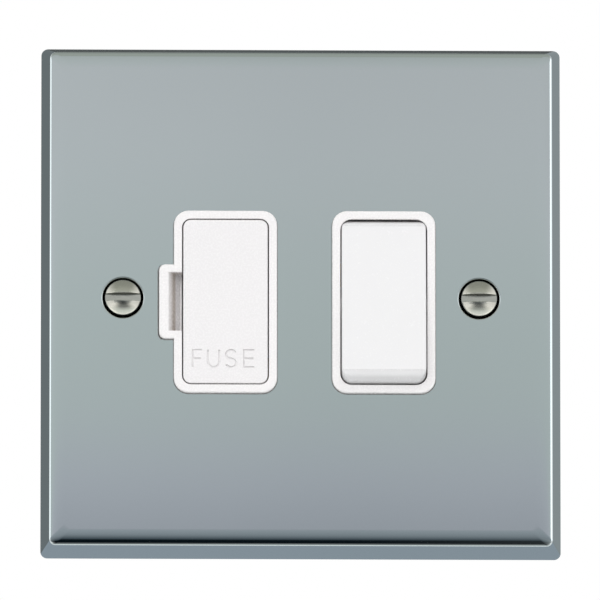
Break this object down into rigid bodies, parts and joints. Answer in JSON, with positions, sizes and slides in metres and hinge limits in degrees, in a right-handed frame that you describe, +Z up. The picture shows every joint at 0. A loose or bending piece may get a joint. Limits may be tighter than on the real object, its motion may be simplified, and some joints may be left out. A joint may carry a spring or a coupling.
{
  "type": "fused spur unit",
  "caption": "Square metal-fronted fused spur unit for a single wall box, with a pull-out fuse carrier, a rocker switch and rear screw terminals.",
  "frame": {"origin": "midway between the two fixing screws, on the plane of the plate's rim that lies against the wall", "axes": "+X to the right as seen from the front, +Y into the wall, +Z up"},
  "size_m": [0.088, 0.0293, 0.088],
  "materials": {
    "plate_metal": "polished",
    "stud_steel": "plain",
    "nut_brass": "turned",
    "screw_nickel": "nickel plated",
    "front_moulding": "smooth moulded",
    "rear_moulding": "fine moulded",
    "screw_zinc": "passivated zinc",
    "carrier_plastic": "smooth moulded",
    "fuse_ceramic": "plain",
    "cap_nickel": "nickel plated",
    "strip_brass": "stamped",
    "tip_silver": "satin",
    "rocker_plastic": "smooth moulded",
    "plunger_plastic": "plain",
    "spring_steel": "drawn wire",
    "terminal_brass": "machined"
  },
  "bodies": {
    "housing": {"faceplate": "plate_metal", "plate_studs": "stud_steel", "stud_nuts": "nut_brass", "fixing_screws": "screw_nickel", "front_housing": "front_moulding", "rear_housing": "rear_moulding", "housing_screws": "screw_zinc", "upper_fuse_clip": "strip_brass", "lower_fuse_clip": "strip_brass", "live_link": "strip_brass", "neutral_fixed_contact": "strip_brass", "fixed_contact_tips": "tip_silver", "live_fulcrum_bracket": "strip_brass", "neutral_fulcrum_bracket": "strip_brass", "supply_live_terminal": "terminal_brass", "supply_neutral_terminal": "terminal_brass", "load_live_terminal": "terminal_brass", "load_neutral_terminal": "terminal_brass", "earth_terminal": "terminal_brass", "terminal_screws": "screw_zinc", "earth_strap": "strip_brass"},
    "fuse_drawer": {"fuse_carrier": "carrier_plastic", "fuse_barrel": "fuse_ceramic", "fuse_caps": "cap_nickel"},
    "switch_rocker": {"rocker": "rocker_plastic", "live_spring": "spring_steel", "neutral_spring": "spring_steel"},
    "live_plunger_pin": {"live_plunger": "plunger_plastic"},
    "neutral_plunger_pin": {"neutral_plunger": "plunger_plastic"},
    "live_seesaw": {"live_moving_contact": "strip_brass", "live_moving_tip": "tip_silver"},
    "neutral_seesaw": {"neutral_moving_contact": "strip_brass", "neutral_moving_tip": "tip_silver"}
  },
  "joints": [
    {"name": "rocker_tilt", "type": "hinge", "parent": "housing", "child": "switch_rocker", "pos_m": [0.014, -0.0034, -0.00075], "axis": [1, 0, 0], "range_deg": [0, 14]},
    {"name": "live_contact_tilt", "type": "hinge", "parent": "housing", "child": "live_seesaw", "pos_m": [0.0105, 0.0085, -0.00075], "axis": [1, 0, 0], "range_deg": [-20, 0]},
    {"name": "neutral_contact_tilt", "type": "hinge", "parent": "housing", "child": "neutral_seesaw", "pos_m": [0.0175, 0.0085, -0.00075], "axis": [1, 0, 0], "range_deg": [-20, 0]},
    {"name": "live_plunger_slide", "type": "slide", "parent": "switch_rocker", "child": "live_plunger_pin", "axis": [0, 0.9925, -0.1219], "range_m": [-0.0008, 0], "stiffness_N_per_m": 300, "springref_m": 0.002, "deforming": ["live_spring"]},
    {"name": "neutral_plunger_slide", "type": "slide", "parent": "switch_rocker", "child": "neutral_plunger_pin", "axis": [0, 0.9925, -0.1219], "range_m": [-0.0008, 0], "stiffness_N_per_m": 300, "springref_m": 0.002, "deforming": ["neutral_spring"]},
    {"name": "fuse_carrier_slide", "type": "slide", "parent": "housing", "child": "fuse_drawer", "axis": [0, -1, 0], "range_m": [0, 0.0125]}
  ],
  "couplings": [
    {"joint": "live_contact_tilt", "follows": "rocker_tilt", "ratio": -1.4285},
    {"joint": "neutral_contact_tilt", "follows": "rocker_tilt", "ratio": -1.4285}
  ]
}
